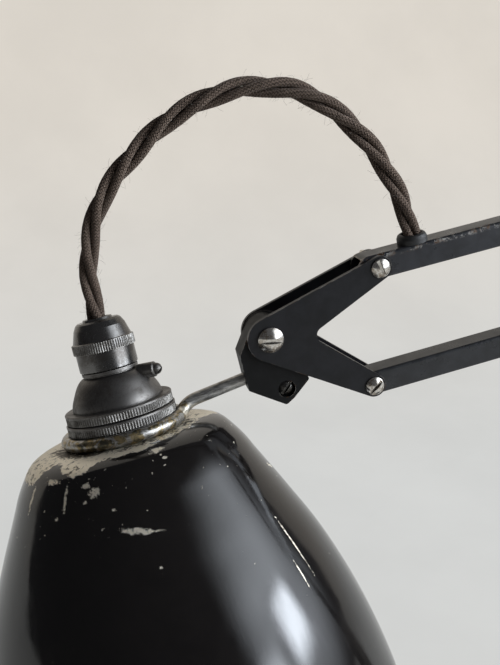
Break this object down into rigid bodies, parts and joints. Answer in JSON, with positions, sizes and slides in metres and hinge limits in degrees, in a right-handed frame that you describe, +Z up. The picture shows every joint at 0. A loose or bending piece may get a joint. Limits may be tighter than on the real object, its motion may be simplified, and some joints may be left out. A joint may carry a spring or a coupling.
{
  "type": "architect desk lamp",
  "caption": "Spring-balanced architect desk lamp with a stepped base, twin parallel-bar arms, forked head plates, a bell shade on a wire fork, a bayonet lampholder and twisted flex.",
  "frame": {"origin": "centre of the underside of the base, on the table", "axes": "+Z up; the arms lie in the XZ plane, the elbow towards +X and the shade towards -X; the front is -Y"},
  "size_m": [0.529, 0.1853, 0.4487],
  "materials": {
    "base_paint": "gloss black stove enamel",
    "felt": "dark green felt",
    "black_paint": "satin black paint with worn edges",
    "nickel": "aged nickel plate",
    "dark_steel": "blackened steel",
    "spring_steel": "drawn spring wire",
    "rubber": "matt black rubber",
    "flex_braid": "brown cotton braid, twisted",
    "fibre": "brown fibre",
    "wire_nickel": "tarnished nickel plate",
    "shade_enamel": "gloss black enamel worn to bare metal at the top",
    "bronze": "dark bronze finish",
    "brass": "plain brass",
    "glass": "pearl glass"
  },
  "bodies": {
    "base": {"base_casting": "base_paint", "base_felt": "felt", "spindle": "nickel", "spindle_nut": "nickel"},
    "bracket": {"swivel_bracket": "black_paint", "spring_stud_front": "nickel", "spring_stud_rear": "nickel", "base_pivot_screw": "nickel", "base_pivot_nut": "nickel", "balance_spring_front": "spring_steel", "balance_spring_rear": "spring_steel"},
    "lower_arm": {"lower_arm_tube": "black_paint", "elbow_plate_front": "black_paint", "elbow_plate_rear": "black_paint", "elbow_rivets": "black_paint", "elbow_low_screw": "nickel", "elbow_low_nut": "nickel", "elbow_high_screw": "nickel", "elbow_high_nut": "nickel", "spring_crossbar": "nickel", "spring_lug": "black_paint"},
    "upper_arm": {"upper_bar": "black_paint", "cord_grommet": "rubber", "flex_arm": "flex_braid"},
    "lower_bar": {"lower_bar": "black_paint", "link_top_screw": "nickel", "link_top_nut": "nickel"},
    "rocker": {"rocker_plate_front": "black_paint", "rocker_plate_rear": "black_paint", "rocker_spring_pin": "nickel", "link_foot_screw": "nickel", "link_foot_nut": "nickel", "link_spring": "spring_steel"},
    "link": {"link_bar": "black_paint"},
    "head_plates": {"head_plate_front": "black_paint", "head_plate_rear": "black_paint", "upper_bar_screw": "nickel", "upper_bar_nut": "nickel", "lower_bar_screw": "nickel", "lower_bar_nut": "nickel", "tilt_screw": "nickel", "tilt_nut": "nickel", "flex_crown": "flex_braid"},
    "knuckle": {"knuckle": "black_paint", "clamp_screw": "dark_steel", "fibre_washer_front": "fibre", "fibre_washer_rear": "fibre", "flex_head": "flex_braid"},
    "shade": {"shade": "shade_enamel", "wire_fork": "wire_nickel", "holder_barrel": "brass", "shade_ring": "brass", "holder_dome": "bronze", "holder_cap": "bronze", "holder_ring_upper": "bronze", "holder_ring_lower": "bronze", "earth_post": "bronze", "earth_screw": "bronze", "bulb_cap": "brass", "bulb_glass": "glass"}
  },
  "joints": [
    {"name": "base_swivel", "type": "hinge", "parent": "base", "child": "bracket", "pos_m": [0, 0, 0.0435], "axis": [0, 0, 1], "continuous": true},
    {"name": "lower_arm_tilt", "type": "hinge", "parent": "bracket", "child": "lower_arm", "pos_m": [0, 0, 0.09], "axis": [0, 1, 0], "range_deg": [-22, 30], "deforming": ["balance_spring_front", "balance_spring_rear"]},
    {"name": "upper_arm_tilt", "type": "hinge", "parent": "lower_arm", "child": "upper_arm", "pos_m": [0.12362, 0, 0.44217], "axis": [0, 1, 0], "range_deg": [-20, 45]},
    {"name": "lower_bar_turn", "type": "hinge", "parent": "lower_arm", "child": "lower_bar", "pos_m": [0.12362, 0, 0.39597], "axis": [0, 1, 0], "range_deg": [-21, 46]},
    {"name": "rocker_turn", "type": "hinge", "parent": "lower_arm", "child": "rocker", "pos_m": [0, 0, 0.09], "axis": [0, 1, 0], "range_deg": [-21, 46], "deforming": ["link_spring"]},
    {"name": "link_turn", "type": "hinge", "parent": "rocker", "child": "link", "pos_m": [0.04695, 0, 0.09998], "axis": [0, 1, 0], "range_deg": [-46, 21]},
    {"name": "head_level", "type": "hinge", "parent": "upper_arm", "child": "head_plates", "pos_m": [-0.19917, 0, 0.37356], "axis": [0, 1, 0], "range_deg": [-46, 21], "deforming": ["flex_arm"]},
    {"name": "head_tilt", "type": "hinge", "parent": "head_plates", "child": "knuckle", "pos_m": [-0.24042, 0, 0.34876], "axis": [0, 1, 0], "range_deg": [-30, 40], "deforming": ["flex_crown"]},
    {"name": "shade_roll", "type": "hinge", "parent": "knuckle", "child": "shade", "pos_m": [-0.23612, 0, 0.33628], "axis": [0.9455, 0, 0.3256], "range_deg": [-27, 53], "deforming": ["flex_head"]}
  ],
  "couplings": [
    {"joint": "lower_bar_turn", "follows": "upper_arm_tilt", "ratio": 1},
    {"joint": "rocker_turn", "follows": "upper_arm_tilt", "ratio": 1},
    {"joint": "head_level", "follows": "upper_arm_tilt", "ratio": -1},
    {"joint": "link_turn", "follows": "upper_arm_tilt", "ratio": -1}
  ]
}
